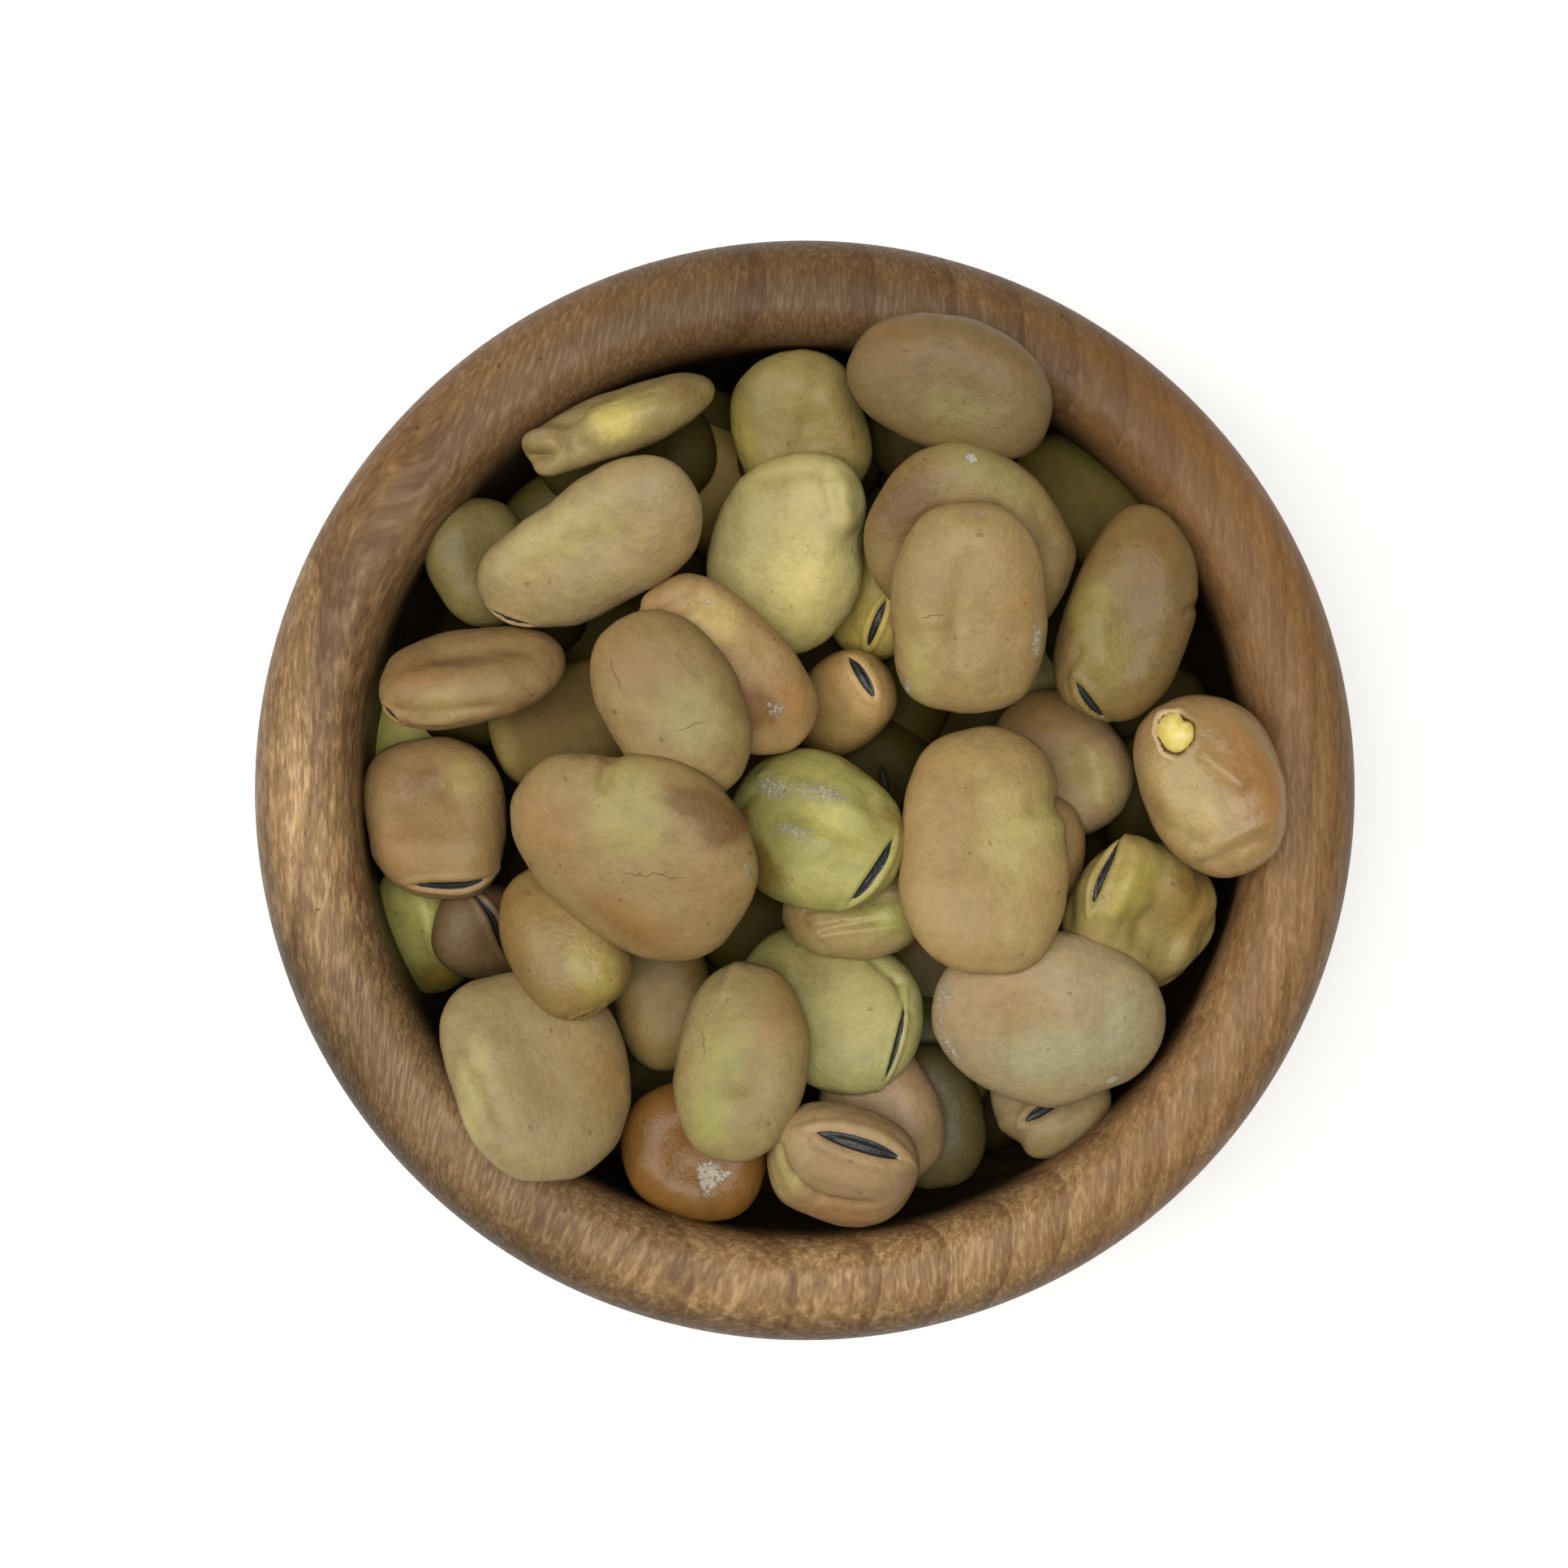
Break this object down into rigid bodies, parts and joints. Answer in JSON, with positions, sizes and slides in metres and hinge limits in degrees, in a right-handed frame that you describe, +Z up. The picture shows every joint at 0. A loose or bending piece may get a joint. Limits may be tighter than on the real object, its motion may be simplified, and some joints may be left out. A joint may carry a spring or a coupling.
{
  "type": "bowl of dried broad beans",
  "caption": "Small turned wooden bowl with a thick rounded rim, heaped above its rim with dried broad beans; stands on its flat foot as table, shop or kitchen dressing.",
  "frame": {"origin": "centre of the bowl's foot, on the surface that it stands on", "axes": "+Z up along the bowl's turning axis; +Y towards the top of the picture, +X to its right"},
  "size_m": [0.12, 0.12, 0.064],
  "materials": {
    "wood": "oiled mid-brown turned hardwood, satin",
    "bean_skin": "dry smooth seed skin in tan, olive, pale green and russet, dull satin"
  },
  "bodies": {
    "root": {"bowl": "wood", "beans": "bean_skin"}
  },
  "joints": []
}
